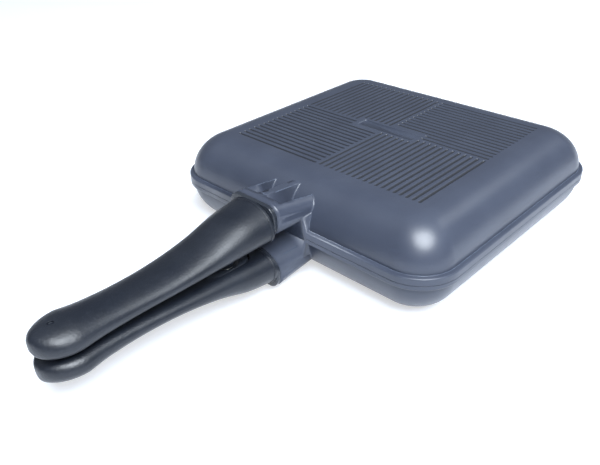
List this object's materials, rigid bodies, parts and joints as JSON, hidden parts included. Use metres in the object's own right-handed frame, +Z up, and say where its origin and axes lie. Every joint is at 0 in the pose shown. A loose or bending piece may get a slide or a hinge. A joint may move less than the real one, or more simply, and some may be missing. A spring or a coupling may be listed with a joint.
{
  "type": "double sided flip pan",
  "caption": "Hinged double sided pan of two shallow cast half pans with grooved outer faces, a rim seal, and a moulded grip on each half held shut by magnets.",
  "frame": {"origin": "centre of the lower pan's rounded rectangular base, on the surface it stands on", "axes": "+Z up; the grips point to -Y and the hinge is at +Y; +X to the right of a person who stands behind the grips and looks over them at the pan"},
  "size_m": [0.29, 0.5057, 0.0805],
  "materials": {
    "coated_casting": "satin non-stick coating on cast aluminium, fine grain",
    "seal_silicone": "matte silicone",
    "guard_metal": "satin coated metal",
    "grip_moulding": "satin phenolic moulding, finely grained",
    "carrier_moulding": "satin moulding",
    "magnet_plating": "nickel plated, slightly worn",
    "screw_steel": "plain zinc plated steel",
    "hinge_steel": "turned stainless steel"
  },
  "bodies": {
    "lower_half": {"lower_pan": "coated_casting", "rim_seal": "seal_silicone", "lower_flame_guard": "guard_metal", "lower_grip": "grip_moulding", "lower_magnet_carrier": "carrier_moulding", "lower_magnet": "magnet_plating", "lower_carrier_screws": "screw_steel", "lower_grip_screw": "screw_steel", "lower_grip_washer": "screw_steel", "hinge_pin_left": "hinge_steel", "hinge_pin_right": "hinge_steel", "hinge_clip_left": "hinge_steel", "hinge_clip_right": "hinge_steel"},
    "upper_half": {"upper_pan": "coated_casting", "upper_flame_guard": "guard_metal", "upper_grip": "grip_moulding", "upper_magnet_carrier": "carrier_moulding", "upper_magnet": "magnet_plating", "upper_carrier_screws": "screw_steel", "upper_grip_screw": "screw_steel", "upper_grip_washer": "screw_steel"}
  },
  "joints": [
    {"name": "lid_hinge", "type": "hinge", "parent": "lower_half", "child": "upper_half", "pos_m": [0, 0.143, 0.0398], "axis": [-1, 0, 0], "range_deg": [0, 110]}
  ]
}
